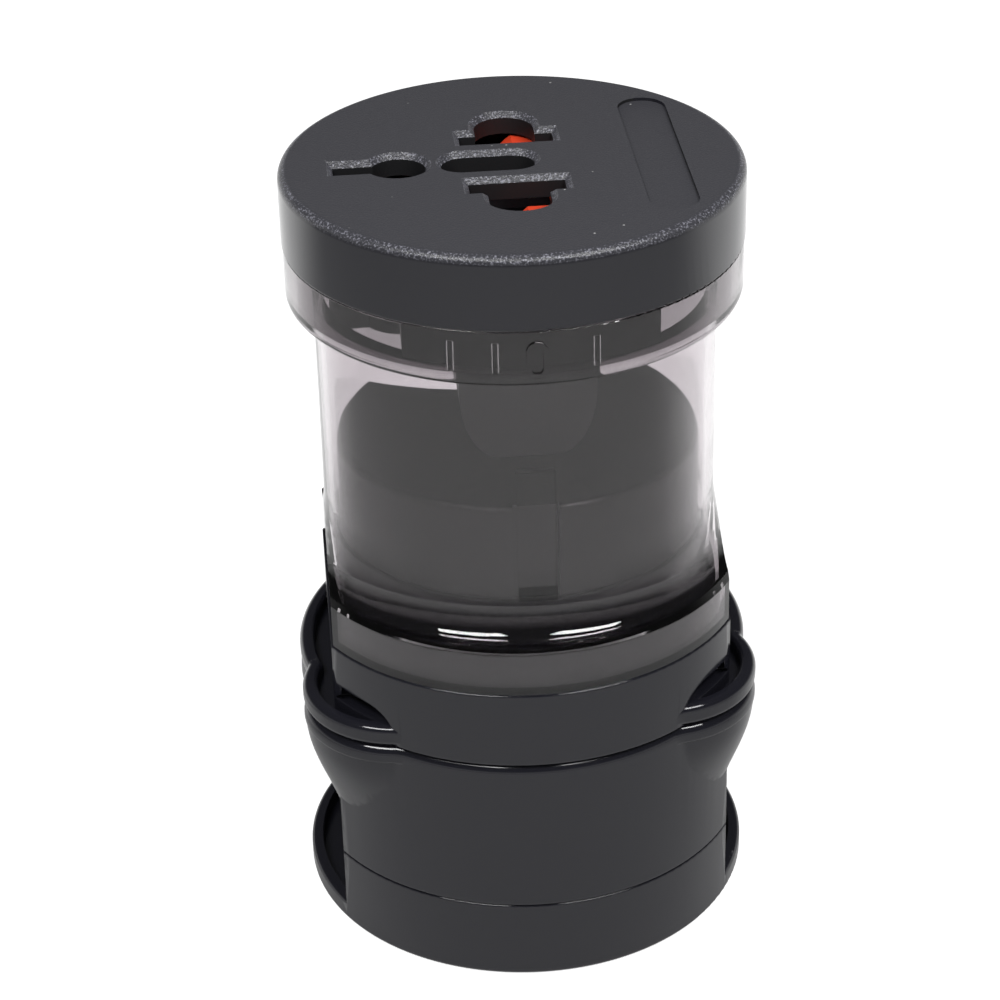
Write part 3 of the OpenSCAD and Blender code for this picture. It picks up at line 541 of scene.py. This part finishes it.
class ADAPTER_OT_base(bpy.types.Operator):
    """Base cap and pin guard"""

    bl_idname = "adapter.base"
    bl_label = "Base and pin guard"

    def execute(self, context):
        finished_copy("base_cap", "base_moulding")
        finished_copy("pin_guard", "guard_moulding")
        return {"FINISHED"}


class ADAPTER_OT_flat_pin_adapter(bpy.types.Operator):
    """Flat-pin adapter with its pins and contacts"""

    bl_idname = "adapter.flat_pin_adapter"
    bl_label = "Flat-pin adapter"

    def execute(self, context):
        finished_copy("uk_shell", "flat_pin_shell")
        finished_copy("uk_plate", "flat_pin_plate")
        finished_copy("uk_earth_pin", "flat_earth_pin")
        for pole in POLES:
            finished_copy(f"uk_{pole}_pin", f"flat_{pole}_pin")
            finished_copy(f"uk_{pole}_contact", f"flat_{pole}_strap")
        finished_copy("uk_screws", "flat_pin_screws")
        return {"FINISHED"}


class ADAPTER_OT_round_pin_adapter(bpy.types.Operator):
    """Round-pin adapter with its pins and contacts"""

    bl_idname = "adapter.round_pin_adapter"
    bl_label = "Round-pin adapter"

    def execute(self, context):
        finished_copy("eu_body", "round_pin_body")
        finished_copy("eu_plate", "round_pin_plate")
        for pole in POLES:
            finished_copy(f"eu_{pole}_pin", f"round_{pole}_pin")
            finished_copy(f"eu_{pole}_contact", f"round_{pole}_leaves")
        finished_copy("eu_screws", "round_pin_screws")
        return {"FINISHED"}


class ADAPTER_OT_sleeve(bpy.types.Operator):
    """Clear sleeve"""

    bl_idname = "adapter.sleeve"
    bl_label = "Clear sleeve"

    def execute(self, context):
        finished_copy("clear_sleeve", "sleeve_moulding")
        return {"FINISHED"}


class ADAPTER_OT_head(bpy.types.Operator):
    """Socket cap, contact carrier, blades, contacts and the shutter's spring"""

    bl_idname = "adapter.head"
    bl_label = "Head"

    def execute(self, context):
        finished_copy("socket_cap", "cap_moulding")
        finished_copy("contact_carrier", "carrier_moulding")
        for pole in POLES:
            finished_copy(f"{pole}_blade", f"flat_{pole}_blade")
            finished_copy(f"{pole}_contact", f"{pole}_sheet")
        finished_copy("earth_contact", "earth_split_sleeve")
        finished_copy("head_screws", "carrier_screws")
        spring = finished_copy("shutter_spring", "return_spring")
        squeeze_spring(spring)
        return {"FINISHED"}


class ADAPTER_OT_shutter(bpy.types.Operator):
    """Red shutter"""

    bl_idname = "adapter.shutter"
    bl_label = "Shutter"

    def execute(self, context):
        finished_copy("shutter", "shutter_moulding")
        return {"FINISHED"}


def camera_frame(stage):
    """World matrix of a camera at the photograph's place."""
    flat = math.cos(stage.elevation)
    ahead = -math.cos(stage.azimuth) * flat
    back = Vector((math.sin(stage.azimuth) * flat, ahead, math.sin(stage.elevation)))
    right = Vector((0, 0, 1)).cross(back).normalized()
    up = back.cross(right)
    turned = right * math.cos(stage.roll) + up * math.sin(stage.roll)
    upright = back.cross(turned)
    axes = Matrix((turned, upright, back)).transposed().to_4x4()
    return Matrix.Translation(Vector(stage.aim) + back * stage.distance) @ axes


def add_camera(stage):
    """The photograph's camera."""
    lens = bpy.data.cameras.new("photo_camera")
    lens.lens = stage.lens
    lens.sensor_width = SENSOR_WIDTH
    lens.shift_x, lens.shift_y = stage.shift
    lens.clip_start = CLIP_START
    camera = bpy.data.objects.new("photo_camera", lens)
    camera.matrix_world = camera_frame(stage)
    bpy.context.scene.collection.objects.link(camera)
    bpy.context.scene.camera = camera


def add_floor(colours):
    """White paper floor that keeps the object's shadow."""
    bpy.ops.object.select_all(action="DESELECT")
    bpy.ops.mesh.primitive_plane_add(size=FLOOR_SIZE)
    floor = bpy.context.object
    floor.name = "paper_floor"
    material, tree, place = start_material("white_paper")
    light = add(tree, "ShaderNodeLightPath").outputs
    through = calculate(tree, "MAXIMUM", light["Is Camera Ray"], light["Is Transmission Ray"])
    away = on_vector(tree, "LENGTH", {0: place["Object"]})["Value"]
    seen = calculate(tree, "MULTIPLY", through, ramp(tree, away, FLOOR_REACH, FLOOR_LIFT, "SMOOTHSTEP"))
    mirrored = calculate(tree, "MINIMUM", light["Glossy Depth"], 1.0)
    behind = on_vector(tree, "DOT_PRODUCT", {0: place["Object"], 1: GLOW_WAY})["Value"]
    gloss = ramp(tree, behind, GLOW_REACH, GLOW_LIFT, "SMOOTHSTEP")
    lift = mix_value(tree, mirrored, seen, gloss)
    paper = add(tree, "ShaderNodeBsdfDiffuse", inputs={"Color": linear(colours.floor)})
    glow = add(tree, "ShaderNodeEmission", inputs={"Strength": lift})
    both = add(tree, "ShaderNodeAddShader", inputs={0: paper.outputs[0], 1: glow.outputs[0]})
    floor.data.materials.append(end_material(material, tree, both))


def add_world():
    """White studio: white to the eye, in glass and in gloss near the horizon, under a dim ceiling."""
    world = bpy.data.worlds.new("white_studio")
    bpy.context.scene.world = world
    world.use_nodes = True
    tree = world.node_tree
    tree.nodes.clear()
    light = add(tree, "ShaderNodeLightPath").outputs
    way = add(tree, "ShaderNodeTexCoord").outputs["Generated"]
    gloss = ramp(tree, axes_of(tree, way)["Z"], SKY_RISE, SKY_GLOSS, "SMOOTHSTEP")
    mirrored = calculate(tree, "MINIMUM", light["Glossy Depth"], 1.0)
    scattered = calculate(tree, "MINIMUM", light["Diffuse Depth"], 1.0)
    clear = mix_value(tree, mirrored, 1.0, gloss)
    strength = mix_value(tree, scattered, clear, SKY_SCATTER)
    sky = add(tree, "ShaderNodeBackground", inputs={"Color": WHITE, "Strength": strength})
    add(tree, "ShaderNodeOutputWorld", inputs={"Surface": sky.outputs[0]})


def add_softbox(name, side, stage):
    """A strip softbox on one side, aimed at the middle of the column."""
    lamp = bpy.data.lights.new(name, "AREA")
    lamp.shape = "RECTANGLE"
    lamp.size, lamp.size_y = stage.lamp_size
    lamp.energy = stage.lamp
    holder = bpy.data.objects.new(name, lamp)
    across, along, height = stage.lamp_place
    place = Vector((side * across, along, height))
    holder.location = place
    holder.rotation_euler = (LAMP_AIM - place).to_track_quat("-Z", "Y").to_euler()
    bpy.context.scene.collection.objects.link(holder)


class ADAPTER_OT_stage(bpy.types.Operator):
    """Camera, floor, studio and softboxes"""

    bl_idname = "adapter.stage"
    bl_label = "Stage"

    def execute(self, context):
        _, colours, stage = settings()
        add_camera(stage)
        add_floor(colours)
        add_world()
        for name, side in (("left_softbox", -1), ("right_softbox", 1)):
            add_softbox(name, side, stage)
        context.scene.view_settings.view_transform = "Standard"
        return {"FINISHED"}


BUILDERS = (
    ADAPTER_OT_base,
    ADAPTER_OT_flat_pin_adapter,
    ADAPTER_OT_round_pin_adapter,
    ADAPTER_OT_sleeve,
    ADAPTER_OT_head,
    ADAPTER_OT_shutter,
    ADAPTER_OT_stage,
)


class ADAPTER_PT_panel(bpy.types.Panel):
    """Lists the sizes, colours and operators"""

    bl_idname = "ADAPTER_PT_panel"
    bl_label = "Travel plug adapter"
    bl_space_type = "VIEW_3D"
    bl_region_type = "UI"
    bl_category = "Adapter"

    def draw(self, context):
        for group in settings():
            box = self.layout.box()
            for name in group.__annotations__:
                box.prop(group, name)
        for builder in BUILDERS:
            self.layout.operator(builder.bl_idname)


GROUPS = {
    "adapter_sizes": AdapterSizes,
    "adapter_colours": AdapterColours,
    "adapter_stage": AdapterStage,
}
CLASSES = (*GROUPS.values(), *BUILDERS, ADAPTER_PT_panel)


def register():
    """Registers the classes and hangs the property groups on the scene."""
    for cls in CLASSES:
        bpy.utils.register_class(cls)
    for name, group in GROUPS.items():
        setattr(bpy.types.Scene, name, PointerProperty(type=group))


def unregister():
    """Takes everything back out."""
    for name in GROUPS:
        delattr(bpy.types.Scene, name)
    for cls in reversed(CLASSES):
        bpy.utils.unregister_class(cls)


def main():
    """Builds the adapter and its stage."""
    register()
    for builder in BUILDERS:
        group, name = builder.bl_idname.split(".")
        getattr(getattr(bpy.ops, group), name)()


if __name__ == "__main__":
    main()
